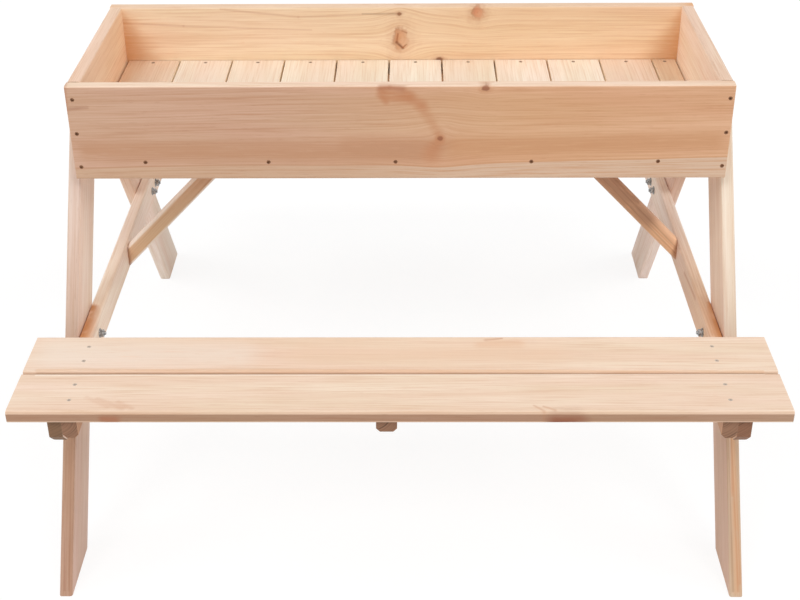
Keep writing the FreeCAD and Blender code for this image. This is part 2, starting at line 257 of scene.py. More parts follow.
# Knots, in their own radii, and colour streaks: stains, and in places painted shade and painted highlights
KNOT_HALO = (2.6, 0.8)
KNOT_RIM = (0.45, 0.95)
KNOT_BODY = (1.25, 0.55)
KNOT_RIM_LEAN = (0.5, 0.6)
KNOT_BODY_LEAN = (0.2, 0.8)
KNOT_RING_RATE = 16.0
KNOT_RING_SHARE = 0.12
KNOT_ROUGH_SCALE = (150, 150, 60)
STREAK_FIBRE_SCALE = (30, 260, 60)
STREAK_FIBRE_DETAIL = 3.0
STREAK_FIBRE_RANGE = (0.0, 0.55)

# Floor slats: how far their hearts lie aside, and the shares of their tone
SLAT_HEART_SPREAD = 0.05
SLAT_HEART_DEPTH = -0.07
SLAT_SHARES = (0.980, 1.000)

# Metal: clouds, pits and tones
CLOUD_SCALE = (500, 500, 500)
CLOUD_DETAIL = 4.0
CLOUD_RANGE = (0.35, 0.65)
CLOUD_ROUGHNESS = 0.25
PIT_SCALE = (2600, 2600, 2600)
PIT_RELIEF = {"Strength": 0.25, "Distance": 0.0002}
ZINC_TONE = srgb(196, 195, 194)
DULL_ZINC_TONE = srgb(188, 168, 150)
# Bronzed, and dark as painted shade standing for sunk screw heads.
BRONZED_RECESS_SHADE_TONE = srgb(162, 121, 94)
DUSTY_ZINC_TONE = srgb(212, 198, 184)

# A knot's place on a board, along and across it; the side of it that is darkest is given in the same way.
# Its detour is how far it drives the grain aside.
Knot = namedtuple("Knot", "along across radius stretch detour tone rim halo dark_side", defaults=((0, 0),))

# The tone of a board's narrow faces, at the far end of its grain too, from how far the surface has turned
Edge = namedtuple("Edge", "tone far_tone start full", defaults=(None, 0.3, 0.8))

# Pale sapwood, which starts at a distance from the heart, with its tone at both ends of the grain.
# Where there is none, it starts beyond every board.
Sapwood = namedtuple("Sapwood", "start tone far_tone")
NO_SAPWOOD = Sapwood(9.0, SAP_TONE, SAP_TONE)

# A colour streak between two places on a board, with its half width at each. Most are stains; some are
# painted shade, and one is a painted highlight.
ColourStreak = namedtuple("ColourStreak", "start end start_width end_width tone amount")

# A pattern of noise: its scale along the grain, across the board and through it, its detail, the range of
# noise over which it comes in, and how strongly it then shows
Pattern = namedtuple("Pattern", "scale detail low high amount")
PATCHES = Pattern((5, 26, 26), 2.0, 0.3, 0.7, 0.65)
LEANS = Pattern((2.4, 17, 17), 2.0, 0.3, 0.7, 1.0)
FIBRES = Pattern((12, 620, 620), 2.0, 0.45, 0.75, 0.16)
DASHES = Pattern((11, 430, 430), 3.0, 0.44, 0.74, 0.5)
FLECKS = Pattern((55, 1300, 1300), 1.0, 0.66, 0.78, 0.3)

# The mix node's sockets for a factor and two colours, and for the colour that it gives
MIX_INPUTS = (0, 6, 7)
MIX_OUTPUT = 2


class Graph:
    """Short calls that add nodes to one tree and join them."""

    def __init__(self, tree):
        self.tree = tree

    def feed(self, socket, value):
        if isinstance(value, bpy.types.NodeSocket):
            self.tree.links.new(value, socket)
        else:
            socket.default_value = value

    def node(self, kind, inputs=None, **settings):
        """A new node; its inputs are given by their names or numbers."""
        made = self.tree.nodes.new(kind)
        for name, value in settings.items():
            setattr(made, name, value)
        for name, value in (inputs or {}).items():
            self.feed(made.inputs[name], value)
        return made

    def math(self, operation, *values):
        return self.node("ShaderNodeMath", dict(enumerate(values)), operation=operation).outputs[0]

    def times(self, first, second, plus=0.0):
        """The product of two numbers, plus a third."""
        return self.math("MULTIPLY_ADD", first, second, plus)

    def vector(self, operation, *values):
        made = self.node("ShaderNodeVectorMath", dict(enumerate(values)), operation=operation)
        gives_number = operation in ("LENGTH", "DOT_PRODUCT", "DISTANCE")
        return made.outputs["Value" if gives_number else "Vector"]

    def split(self, vector):
        return self.node("ShaderNodeSeparateXYZ", {"Vector": vector}).outputs

    def join(self, x, y, z):
        return self.node("ShaderNodeCombineXYZ", {"X": x, "Y": y, "Z": z}).outputs[0]

    def step(self, value, low, high):
        """Rises smoothly from 0 to 1 as the value goes from low to high."""
        ramp = {"Value": value, "From Min": low, "From Max": high}
        return self.node("ShaderNodeMapRange", ramp, interpolation_type="SMOOTHSTEP").outputs[0]

    def noise(self, place, scale, detail=2.0, roughness=0.5):
        scaled = self.vector("MULTIPLY", place, scale)
        settings = {"Vector": scaled, "Scale": 1.0, "Detail": detail, "Roughness": roughness}
        return self.node("ShaderNodeTexNoise", settings).outputs

    def noise_line(self, place):
        """Noise along a line."""
        settings = {"W": place, "Scale": 1.0, "Detail": 1.0}
        return self.node("ShaderNodeTexNoise", settings, noise_dimensions="1D").outputs["Fac"]

    def blend(self, factor, first, second, kind="MIX"):
        """Mixes two colours."""
        inputs = dict(zip(MIX_INPUTS, (factor, first, second)))
        return self.node("ShaderNodeMix", inputs, data_type="RGBA", blend_type=kind).outputs[MIX_OUTPUT]


def new_group(name, inputs, outputs):
    """An empty node group with its sockets, whose names are given for each kind, and the graph to fill it."""
    tree = bpy.data.node_groups.new(name, "ShaderNodeTree")
    for way, sockets in (("INPUT", inputs), ("OUTPUT", outputs)):
        for kind, labels in sockets.items():
            for label in labels.split():
                tree.interface.new_socket(label, in_out=way, socket_type="NodeSocket" + kind)
    graph = Graph(tree)
    given = graph.node("NodeGroupInput").outputs
    results = graph.node("NodeGroupOutput").inputs
    return tree, graph, given, results


def use_group(graph, tree, **inputs):
    """Puts a node group into a graph."""
    return graph.node("ShaderNodeGroup", inputs, node_tree=tree).outputs


def new_object(name, data):
    made = bpy.data.objects.new(name, data)
    bpy.context.scene.collection.objects.link(made)
    return made


def new_material(name):
    material = bpy.data.materials.new(name)
    material.use_nodes = True
    return material, Graph(material.node_tree), material.node_tree.nodes["Principled BSDF"]


def surface(graph, shader, colour, roughness, height, relief):
    """Gives a shader its colour, roughness and fine relief."""
    bump = graph.node("ShaderNodeBump", {"Height": height, **relief})
    graph.feed(shader.inputs["Base Color"], colour)
    graph.feed(shader.inputs["Roughness"], roughness)
    graph.feed(shader.inputs["Normal"], bump.outputs[0])


def knot_group():
    """How far a point is from a knot's middle, in knot radii, on which side of it, and how far the grain
    swerves there."""
    inputs = {"Vector": "Position Centre Dark_Side", "Float": "Radius Stretch Detour"}
    tree, graph, given, results = new_group("knot", inputs, {"Float": "Reach Side Swerve"})
    away = graph.split(graph.vector("SUBTRACT", given["Position"], given["Centre"]))
    flat = graph.join(graph.math("DIVIDE", away["X"], given["Stretch"]), away["Y"], 0.0)
    distance = graph.vector("LENGTH", flat)
    rough = graph.noise(given["Position"], KNOT_ROUGH_SCALE)["Fac"]
    uneven = graph.math("ADD", rough, NOISE_MIDDLE)
    reach = graph.times(graph.math("DIVIDE", distance, given["Radius"]), uneven)
    detour = graph.times(given["Detour"], given["Detour"])
    spread = graph.times(distance, distance, detour)
    graph.feed(results["Swerve"], graph.times(away["Y"], graph.math("DIVIDE", detour, spread)))
    outward = graph.vector("NORMALIZE", flat)
    graph.feed(results["Side"], graph.vector("DOT_PRODUCT", outward, given["Dark_Side"]))
    graph.feed(results["Reach"], reach)
    return tree


def streak_group():
    """How strongly a streak between two places on a board colours a point."""
    inputs = {"Vector": "Position Start End Mask", "Float": "Start_Width End_Width"}
    tree, graph, given, results = new_group("colour_streak", inputs, {"Float": "Amount"})
    face = graph.vector("MULTIPLY", given["Position"], given["Mask"])
    line = graph.vector("SUBTRACT", given["End"], given["Start"])
    away = graph.vector("SUBTRACT", face, given["Start"])
    square = graph.vector("DOT_PRODUCT", line, line)
    share = graph.math("DIVIDE", graph.vector("DOT_PRODUCT", away, line), square)
    share = graph.math("MINIMUM", graph.math("MAXIMUM", share, 0.0), 1.0)
    nearest = graph.vector("MULTIPLY", line, graph.join(share, share, share))
    distance = graph.vector("DISTANCE", away, nearest)
    wider = graph.math("SUBTRACT", given["End_Width"], given["Start_Width"])
    width = graph.times(share, wider, given["Start_Width"])
    fibres = graph.noise(given["Position"], STREAK_FIBRE_SCALE, STREAK_FIBRE_DETAIL)["Fac"]
    ragged = graph.math("ADD", fibres, NOISE_MIDDLE)
    reach = graph.times(graph.math("DIVIDE", distance, width), ragged)
    soft = graph.step(reach, 1.0, 0.0)
    graph.feed(results["Amount"], graph.times(soft, graph.step(fibres, *STREAK_FIBRE_RANGE)))
    return tree


def edge_distance(graph, place, half):
    """How far a point on a board's surface is from the nearest edge: the middle one of its three
    distances from the board's faces."""
    room = graph.split(graph.vector("SUBTRACT", half, graph.vector("ABSOLUTE", place)))
    lesser = graph.math("MINIMUM", room["X"], room["Y"])
    greater = graph.math("MAXIMUM", room["X"], room["Y"])
    return graph.math("MAXIMUM", lesser, graph.math("MINIMUM", greater, room["Z"]))


def pattern_noise(graph, place, pattern):
    return graph.noise(place, pattern.scale, pattern.detail)["Fac"]


def pattern_amount(graph, noise, pattern):
    """How strongly a pattern shows where its noise has some value."""
    return graph.times(graph.step(noise, pattern.low, pattern.high), pattern.amount)


def heart_distance(graph, place, moved, given):
    """How far a point is from the tree's heart line, which wanders and may taper along the board."""
    wander = graph.noise(moved, WANDER_SCALE)["Color"]
    either_way = graph.vector("SUBTRACT", wander, [NOISE_MIDDLE] * 3)
    wander = graph.vector("MULTIPLY", either_way, WANDER_REACH)
    around = graph.vector("SUBTRACT", graph.vector("ADD", place, wander), given["Heart"])
    distance = graph.vector("LENGTH", graph.vector("MULTIPLY", around, (0, 1, 1)))
    return graph.times(graph.split(place)["X"], given["Taper"], distance)


def late_wood(graph, distance, moved, given):
    """Dark late wood at the end of each ring. Rings drift, differ in strength and fade in patches."""
    seed = given["Seed"]
    uneven = graph.noise_line(graph.times(distance, DRIFT_SCALE, seed))
    drifted = graph.times(graph.math("SUBTRACT", uneven, NOISE_MIDDLE), DRIFT_REACH, distance)
    rings = graph.math("DIVIDE", drifted, given["Ring_Width"])
    share = graph.math("FRACT", rings)
    late = graph.times(graph.step(share, *LATE_RISE), graph.step(share, *LATE_FALL))
    number = graph.times(graph.math("FLOOR", rings), RING_CHANCE_STEP, seed)
    late = graph.times(late, graph.step(graph.noise_line(number), *RING_CHANCE))
    patchy = pattern_amount(graph, pattern_noise(graph, moved, PATCHES), PATCHES)
    return graph.times(late, graph.math("ADD", patchy, 1 - PATCHES.amount))


def pine_group():
    """Pine as a solid, for any cut through it: rings round a heart line, tone, fibres and end grain."""
    inputs = {
        "Vector": "Position Normal Half Heart", "Float": "Swerve Ring_Width Taper Seed Sapwood Late_Amount",
        "Color": "Tone End_Tone Sap_Tone",
    }
    outputs = {"Color": "Colour", "Float": "Roughness Height"}
    tree, graph, given, results = new_group("pine", inputs, outputs)
    seed = given["Seed"]
    place = graph.vector("SUBTRACT", given["Position"], graph.join(0.0, given["Swerve"], 0.0))
    moved = graph.vector("ADD", place, graph.join(seed, seed, seed))
    pale = graph.vector("MULTIPLY", given["Tone"], PALE_SHARE)
    deep = graph.vector("MULTIPLY", given["Tone"], DEEP_SHARE)
    dark = graph.vector("MULTIPLY", given["Tone"], LATE_SHARE)
    distance = heart_distance(graph, place, moved, given)
    late = late_wood(graph, distance, moved, given)

    # Broad bands of tone follow the rings
    ring_place = graph.join(graph.split(place)["X"], distance, seed)
    band = graph.noise(ring_place, BAND_SCALE, BAND_DETAIL, BAND_ROUGHNESS)["Fac"]
    colour = graph.blend(graph.step(band, *BAND_RANGE), deep, pale)

    # Patches lean to pink or to olive
    leaning = pattern_amount(graph, pattern_noise(graph, moved, LEANS), LEANS)
    lean = graph.blend(leaning, (*PINK_SHARE, 1), (*OLIVE_SHARE, 1))
    colour = graph.vector("MULTIPLY", colour, lean)

    # Sapwood is paler and greyer, behind a thin dark line
    past = graph.math("SUBTRACT", distance, given["Sapwood"])
    sap = graph.times(graph.step(past, *SAP_BORDER), SAP_SHARE)
    colour = graph.blend(sap, colour, given["Sap_Tone"])
    line = graph.step(graph.math("ABSOLUTE", past), *SAP_LINE)
    colour = graph.blend(graph.times(line, SAP_LINE_SHARE), colour, dark)

    # Late wood, fibres, dashes and flecks darken it along the board
    fibre = pattern_noise(graph, moved, FIBRES)
    dash = pattern_noise(graph, moved, DASHES)
    fleck = pattern_noise(graph, moved, FLECKS)
    colour = graph.blend(graph.times(late, given["Late_Amount"]), colour, dark)
    colour = graph.blend(pattern_amount(graph, fibre, FIBRES), colour, dark)
    colour = graph.blend(pattern_amount(graph, dash, DASHES), colour, dark)
    colour = graph.blend(pattern_amount(graph, fleck, FLECKS), colour, dark, "MULTIPLY")

    # A cut across the grain drinks more light and shows its rings more strongly
    end = graph.step(graph.math("ABSOLUTE", graph.split(given["Normal"])["X"]), *END_TURN)
    rings = graph.times(late, END_RING_GAIN, END_RING_BASE)
    cut = graph.vector("MULTIPLY", given["End_Tone"], graph.join(rings, rings, rings))
    colour = graph.blend(end, colour, cut)

    # Edges are rubbed a little paler and duller; the paler line is also a painted highlight along the arrises
    rub = graph.noise(moved, RUB_SCALE, RUB_DETAIL)["Fac"]
    edge = edge_distance(graph, given["Position"], given["Half"])
    worn_and_highlit = graph.step(graph.times(rub, RUB_DEPTH, edge), *RUB_BORDER)
    share = graph.times(end, RUB_END_LOSS, RUB_AND_HIGHLIGHT_SHARE)
    colour = graph.blend(graph.times(worn_and_highlit, share), colour, pale)
    graph.feed(results["Colour"], colour)
    dull = graph.times(fibre, FIBRE_ROUGHNESS, WOOD_ROUGHNESS)
    graph.feed(results["Roughness"], graph.times(worn_and_highlit, RUB_ROUGHNESS, dull))
    relief = graph.times(fibre, FIBRE_RELIEF)
    graph.feed(results["Height"], graph.times(late, LATE_RELIEF, relief))
    return tree


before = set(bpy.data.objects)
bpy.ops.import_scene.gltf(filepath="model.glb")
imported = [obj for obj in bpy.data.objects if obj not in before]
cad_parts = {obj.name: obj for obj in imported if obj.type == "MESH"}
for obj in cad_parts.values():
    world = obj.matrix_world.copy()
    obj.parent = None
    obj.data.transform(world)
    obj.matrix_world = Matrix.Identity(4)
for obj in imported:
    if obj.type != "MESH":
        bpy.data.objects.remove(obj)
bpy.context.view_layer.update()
KNOT = knot_group()
STREAK_GROUP = streak_group()
PINE = pine_group()


def extents(points):
    """The lowest and highest corners of a box round some points."""
    return [Vector([pick(point[axis] for point in points) for axis in range(3)]) for pick in (min, max)]


def board_place(graph, node, grain, width):
    """A board's own coordinates, along its grain, across its width and through it, from its middle, with its
    surface's direction and half its size in them."""
    turn = Matrix((grain, width, grain.cross(width)))
    low, high = extents([turn @ vertex.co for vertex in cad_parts[node].data.vertices])
    angles = turn.to_euler("XYZ")
    source = graph.node("ShaderNodeTexCoord").outputs
    place = {"Vector": source["Object"], "Location": -(low + high) / 2, "Rotation": angles}
    facing = {"Vector": source["Normal"], "Rotation": angles}
    position = graph.node("ShaderNodeMapping", place, vector_type="POINT").outputs[0]
    normal = graph.node("ShaderNodeMapping", facing, vector_type="VECTOR").outputs[0]
    return position, normal, (high - low) / 2


def paint_knot(graph, colour, knot, reach, side):
    """A brown knot, darkest at its rim or on one side of it, in a reddish halo."""
    halo = graph.times(graph.step(reach, *KNOT_HALO), knot.halo)
    colour = graph.blend(halo, colour, RESIN_TONE)
    waves = graph.math("SINE", graph.times(reach, KNOT_RING_RATE))
    rings = graph.times(waves, KNOT_RING_SHARE)
    rim_lean = graph.times(side, *KNOT_RIM_LEAN)
    edge = graph.times(graph.step(reach, *KNOT_RIM), rim_lean)
    core = graph.blend(graph.math("ADD", edge, rings), knot.tone, knot.rim)
    body_lean = graph.times(side, *KNOT_BODY_LEAN)
    solid = graph.times(graph.step(reach, *KNOT_BODY), body_lean)
    return graph.blend(solid, colour, core)


def paint_streak(graph, colour, colour_streak, position):
    """A ragged streak that fades at its sides. With a third coordinate it has a depth of its own as well."""
    local = len(colour_streak.start) == 3
    found = use_group(
        graph, STREAK_GROUP, Position=position, Start=(*colour_streak.start, 0)[:3], End=(*colour_streak.end, 0)[:3],
        Mask=(1, 1, 1 if local else 0), Start_Width=colour_streak.start_width, End_Width=colour_streak.end_width,
    )
    return graph.blend(graph.times(found["Amount"], colour_streak.amount), colour, colour_streak.tone)


def shared(tone, share):
    """A tone with each of its parts taken to a share."""
    return tuple(part * factor for part, factor in zip(tone, share)) + (1.0,)


def board_tone(graph, far, normal, tone, far_tone, edges):
    """A board's tone, which may change towards the far end of its grain and on its narrow faces."""
    turned = graph.math("ABSOLUTE", graph.split(normal)["Y"])
    if far_tone:
        tone = graph.blend(far, tone, far_tone)
    for edge in edges:
        edge_tone = graph.blend(far, edge.tone, edge.far_tone) if edge.far_tone else edge.tone
        tone = graph.blend(graph.step(turned, edge.start, edge.full), tone, edge_tone)
    return tone


def dress(node, grain, width, tone, far_tone=None, edges=(), *, heart, end_tone=None, ring=0.0032, taper=0.0,
          late=0.42, sapwood=NO_SAPWOOD, knots=(), colour_streaks=(), cracks=()):
    """Gives a board its pine. The heart of the tree is given across the board and through it. Colour streaks
    lie under the knots, cracks over them; some streaks are stains, some painted shade and one a painted
    highlight."""
    material, graph, shader = new_material(node + "_pine")
    position, normal, half = board_place(graph, node, grain, width)
    far = graph.step(graph.split(position)["X"], -half.x / 2, half.x / 2)
    swerve = 0.0
    reaches = []
    for knot in knots:
        found = use_group(
            graph, KNOT, Position=position, Centre=(knot.along, knot.across, 0), Radius=knot.radius,
            Stretch=knot.stretch, Detour=knot.detour, Dark_Side=(*knot.dark_side, 0),
        )
        swerve = graph.math("ADD", swerve, found["Swerve"])
        reaches.append((knot, found["Reach"], found["Side"]))
    pine = use_group(
        graph, PINE, Position=position, Swerve=swerve, Normal=normal, Half=half, Heart=(0, *heart),
        Ring_Width=ring, Taper=taper, Seed=random.Random(node).uniform(*SEED_RANGE), Sapwood=sapwood.start,
        Late_Amount=late,
        Tone=board_tone(graph, far, normal, tone, far_tone, edges),
        Sap_Tone=graph.blend(far, sapwood.tone, sapwood.far_tone),
        End_Tone=end_tone or shared(tone, END_SHARE),
    )
    colour = pine["Colour"]
    for colour_streak in colour_streaks:
        colour = paint_streak(graph, colour, colour_streak, position)
    for knot, reach, side in reaches:
        colour = paint_knot(graph, colour, knot, reach, side)
    for crack in cracks:
        colour = paint_streak(graph, colour, crack, position)
    surface(graph, shader, colour, pine["Roughness"], pine["Height"], WOOD_RELIEF)
    shader.inputs["Specular IOR Level"].default_value = WOOD_SHINE
    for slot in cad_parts[node].material_slots:
        slot.material = material


def edge_streak(face, start, end, *look):
    """A colour streak on a board's narrow face, between two places given along the board and through it; some
    are stains and some painted shade. Its widths, tone and amount follow."""
    return ColourStreak((start[0], face, start[1]), (end[0], face, end[1]), *look)


def dress_front_board():
    """The sandbox's front board: resin runs from its rim to a small knot."""
    low_wood = [
        ColourStreak((-0.43, -0.026), (0.02, -0.03), 0.026, 0.026, FRONT_LOW_TONE, 0.8),
        ColourStreak((-0.07, -0.02), (0.06, -0.02), 0.024, 0.03, FRONT_LOW_TONE, 0.7),
        ColourStreak((0.08, -0.022), (0.43, -0.012), 0.032, 0.024, FRONT_LOW_RIGHT_TONE, 0.8),
    ]
    resin = [
        ColourStreak((-0.025, 0.0655, 0.0085), (-0.015, 0.0665, 0.0085), 0.008, 0.007, RED_TONE, 0.7),
        ColourStreak((-0.01, 0.0665, 0.0085), (0.004, 0.064, 0.0085), 0.007, 0.009, RED_TONE, 0.6),
        ColourStreak((-0.024, 0.058), (-0.018, 0.046), 0.01, 0.008, RESIN_TONE, 0.6),
        ColourStreak((-0.02, 0.056), (0.012, 0.052), 0.015, 0.015, RESIN_TONE, 0.9),
        ColourStreak((0.01, 0.058), (0.03, 0.04), 0.012, 0.014, RESIN_TONE, 0.6),
        ColourStreak((0.03, 0.04), (0.054, -0.002), 0.014, 0.011, RESIN_TONE, 0.42),
        ColourStreak((0.052, -0.014), (0.044, -0.03), 0.014, 0.024, RESIN_TONE, 0.65),
    ]
    left_end = [
        ColourStreak((-0.448, 0.037), (-0.424, 0.039), 0.005, 0.0034, SCAR_TONE, 0.4),
        ColourStreak((-0.4525, 0.069), (-0.4525, 0.03), 0.006, 0.003, RED_TONE, 0.5),
    ]
    dress(
        "front_board", X_AXIS, Z_AXIS, FRONT_TONE, FRONT_RIGHT_TONE, [Edge(FRONT_RIM_TONE)],
        heart=(0.115, 0.02), ring=0.0041, taper=0.0157, late=0.6,
        sapwood=Sapwood(0.160, SAP_TONE, SAP_RIGHT_TONE), colour_streaks=low_wood + resin + left_end,
        knots=[
            Knot(0.056, -0.008, 0.004, 1.0, 0.018, SCAR_TONE, KNOT_RIM_TONE, 0.6),
            Knot(0.116, 0.065, 0.0036, 1.5, 0.008, SCAR_TONE, KNOT_RIM_TONE, 0.4),
        ],
    )


def dress_rear_board():
    """The sandbox's rear board: a large cracked knot, smaller ones, resin veins and painted shade in the
    corners at its ends.
    """
    veins = [
        ColourStreak((-0.06, 0.0575), (-0.003, 0.0575), 0.002, 0.004, SHADE_TONE, 0.5),
        ColourStreak((-0.28, 0.066), (-0.16, 0.053), 0.003, 0.003, RESIN_TONE, 0.3),
        ColourStreak((-0.16, 0.053), (-0.06, 0.057), 0.003, 0.002, RESIN_TONE, 0.3),
        ColourStreak((-0.435, 0.044), (-0.34, 0.039), 0.003, 0.003, RESIN_TONE, 0.3),
        ColourStreak((-0.34, 0.039), (-0.14, 0.032), 0.003, 0.002, RESIN_TONE, 0.25),
    ]
    # Painted shade in both corners, where the side boards meet the rear board.
    ends = [
        ColourStreak((-0.445, -0.03), (-0.445, 0.03), 0.105, 0.05, PAINTED_CORNER_SHADE_TONE, 0.85),
        ColourStreak((0.445, -0.03), (0.455, 0.06), 0.095, 0.032, PAINTED_CORNER_SHADE_TONE, 0.85),
    ]
    dress(
        "rear_board", X_AXIS, Z_AXIS, REAR_TONE, REAR_RIGHT_TONE, [Edge(REAR_RIM_TONE)],
        heart=(-0.1, -0.03), ring=0.0052, late=0.4, colour_streaks=veins + ends,
        knots=[
            Knot(-0.001, 0.0168, 0.019, 0.66, 0.03, PALE_KNOT_TONE, PALE_KNOT_RIM_TONE, 0.2, (-0.7, 0.4)),
            Knot(0.119, 0.059, 0.0098, 1.0, 0.014, ROUND_KNOT_TONE, PALE_KNOT_RIM_TONE, 0.3, (-0.6, 0.4)),
            Knot(-0.0026, 0.0575, 0.0026, 1.3, 0.004, SHADE_TONE, KNOT_RIM_TONE, 0.3),
            Knot(0.06, -0.0165, 0.0034, 1.8, 0.006, KNOT_RIM_TONE, SHADE_TONE, 0.4),
        ],
        cracks=[
            ColourStreak((-0.0052, 0.025), (-0.0072, 0.012), 0.0026, 0.0034, PALE_KNOT_RIM_TONE, 0.8),
            ColourStreak((-0.0072, 0.0112), (0.0022, 0.0022), 0.0036, 0.0036, KNOT_RIM_TONE, 0.85),
            ColourStreak((0.0026, 0.003), (0.008, 0.0078), 0.003, 0.0016, PALE_KNOT_RIM_TONE, 0.8),
            ColourStreak((0.001, 0.03), (0.0085, 0.027), 0.0016, 0.0022, PALE_KNOT_RIM_TONE, 0.6),
        ],
    )


def dress_side_boards():
    """The sandbox's ends; the left one is darker and more orange towards its rear corner, as painted shade.
    """
    dress(
        "left_side_board", Y_AXIS, Z_AXIS, LEFT_WALL_TONE, LEFT_WALL_REAR_PAINTED_SHADE_TONE, [Edge(LEFT_RIM_TONE)],
        heart=(0.05, -0.06), ring=0.0034, late=0.6,
    )
    dress(
        "right_side_board", Y_AXIS, Z_AXIS, RIGHT_WALL_TONE, None, [Edge(RIGHT_RIM_TONE)],
        heart=(0.05, 0.06), ring=0.0034,
    )


def dress_floor():
    """The sandbox floor, with painted shade on the slats beside both walls, and what carries it."""
    # Painted shade on the slats beside both walls, with a warm band along the left wall on the first.
    wall_shade_tones = {1: FIRST_SLAT_PAINTED_SHADE_TONE, SLAT_COUNT - 1: TENTH_SLAT_PAINTED_SHADE_TONE, SLAT_COUNT: LAST_SLAT_PAINTED_SHADE_TONE}
    corner = [ColourStreak((-0.2, -0.045), (0.2, -0.045), 0.065, 0.065, WARM_PAINTED_SHADE_TONE, 0.5)]
    for number in range(1, SLAT_COUNT + 1):
        node = "floor_slat_%02d" % number
        chance = random.Random(node + "heart")
        heart = (chance.uniform(-SLAT_HEART_SPREAD, SLAT_HEART_SPREAD), SLAT_HEART_DEPTH)
        tone = wall_shade_tones.get(number, shared(SLAT_TONE, [chance.uniform(*SLAT_SHARES)] * 3))
        # The slats' paler narrow faces are painted light in the gaps.
        dress(
            node, Y_AXIS, X_AXIS, tone, None, [Edge(SLAT_GAP_PAINTED_LIGHT_TONE, start=0.8, full=0.98)], heart=heart,
            ring=0.003, late=0.4, colour_streaks=corner if number == 1 else (),
        )
    for node in ("front_ledger", "rear_ledger", "centre_batten"):
        dress(node, X_AXIS, Z_AXIS, CLEAT_TONE, heart=(0.03, 0.03))


def dress_legs():
    """Four leaning legs; the front ones are darker towards their feet as painted shade under the bench, and
    have streaks on their narrow faces.
    """
    left_edge = Edge(LEFT_FOOT_EDGE_PAINTED_SHADE_TONE, LEFT_LEG_EDGE_TONE)
    right_edge = Edge(RIGHT_FOOT_EDGE_PAINTED_SHADE_TONE, RIGHT_LEG_EDGE_TONE)
    tones = {
        "front_left_leg": (LEFT_FOOT_PAINTED_SHADE_TONE, LEFT_LEG_TONE, [left_edge]),
        "front_right_leg": (RIGHT_FOOT_PAINTED_SHADE_TONE, RIGHT_LEG_TONE, [right_edge]),
        "rear_left_leg": (REAR_LEFT_LEG_TONE, REAR_LEFT_LEG_TOP_TONE),
        "rear_right_leg": (REAR_RIGHT_LEG_TONE, REAR_RIGHT_LEG_TOP_TONE),
    }
    streaks = {
        "front_left_leg": [
            edge_streak(LEG_FACE, (-0.37, 0.004), (-0.1, 0.003), 0.003, 0.0006, SHADE_TONE, 0.35),
            edge_streak(LEG_FACE, (-0.37, -0.002), (-0.29, -0.004), 0.0026, 0.0006, SCAR_TONE, 0.35),
        ],
        "front_right_leg": [
            edge_streak(LEG_FACE, (-0.37, 0.002), (-0.14, 0.000), 0.014, 0.004, ORANGE_TONE, 0.45),
            edge_streak(LEG_FACE, (-0.24, -0.002), (-0.02, -0.003), 0.0026, 0.0006, RESIN_TONE, 0.45),
            edge_streak(LEG_FACE, (-0.37, 0.003), (-0.14, -0.002), 0.003, 0.0006, RESIN_TONE, 0.6),
            edge_streak(LEG_FACE, (-0.37, -0.004), (-0.16, -0.006), 0.003, 0.0006, SHADE_TONE, 0.4),
            edge_streak(LEG_FACE, (-0.36, 0.006), (-0.2, 0.003), 0.0026, 0.0006, RESIN_TONE, 0.5),
        ],
    }
    for end_name, end in ENDS.items():
        grain = Vector((0, -end * math.sin(LEG_LEAN), math.cos(LEG_LEAN)))
        for side_name in SIDES:
            node = "%s_%s_leg" % (end_name, side_name)
            dress(
                node, grain, X_AXIS.cross(grain), *tones[node], heart=(0.06, -0.05), late=0.4,
                colour_streaks=streaks.get(node, ()),
            )


def dress_beams():
    """Seat beams, with painted shade: warm on their tops near the front legs, and dark along their joints
    with all legs.
    """
    left_marks = [
        # Painted shade: warm on the top near the front leg, and dark along the joints with the legs; the
        # short dark mark is a knot.
        edge_streak(BEAM_TOP, (-0.36, -0.002), (-0.195, -0.005), 0.04, 0.013, WARM_PAINTED_SHADE_TONE, 1.0),
        edge_streak(BEAM_TOP, (-0.31, 0.002), (-0.292, 0.002), 0.01, 0.008, SCAR_TONE, 0.9),
        edge_streak(BEAM_CORNER, (-0.36, -BEAM_SIDE), (-0.195, -BEAM_SIDE), 0.004, 0.0025, SCAR_TONE, 1.0),
        edge_streak(BEAM_CORNER, (0.2, -BEAM_SIDE), (0.36, -BEAM_SIDE), 0.003, 0.0045, SCAR_TONE, 0.9),
    ]
    right_marks = [
        # The first streak is resin; the rest are painted shade, warm on the top near the front leg and dark
        # along the joints with the legs.
        ColourStreak((-0.16, 0.016), (-0.07, 0.008), 0.007, 0.004, RESIN_TONE, 0.6),
        edge_streak(BEAM_TOP, (-0.36, 0.006), (-0.185, 0.0075), 0.03, 0.008, WARM_PAINTED_SHADE_TONE, 1.0),
        edge_streak(BEAM_CORNER, (-0.36, BEAM_SIDE), (-0.2, BEAM_SIDE), 0.0045, 0.0025, SCAR_TONE, 1.0),
        edge_streak(BEAM_CORNER, (0.2, BEAM_SIDE), (0.36, BEAM_SIDE), 0.003, 0.0045, SCAR_TONE, 0.9),
    ]
    # The beams' front ends take dark end grain with painted shade under the seat.
    dress(
        "left_seat_beam", Y_AXIS, Z_AXIS, LEFT_BEAM_TONE, end_tone=LEFT_END_GRAIN_AND_SHADE_TONE, heart=(0.05, -0.03),
        late=0.4, colour_streaks=left_marks,
    )
    dress(
        "right_seat_beam", Y_AXIS, Z_AXIS, RIGHT_BEAM_TONE, RIGHT_BEAM_REAR_TONE, end_tone=RIGHT_END_GRAIN_AND_SHADE_TONE,
        heart=(0.05, -0.03), late=0.55, colour_streaks=right_marks,
    )


def brace_axes(side_name):
    """The directions along a brace and across its face."""
    grain = Vector((-SIDES[side_name] * math.cos(BRACE_ANGLE), 0, math.sin(BRACE_ANGLE)))
    return grain, Y_AXIS.cross(grain)


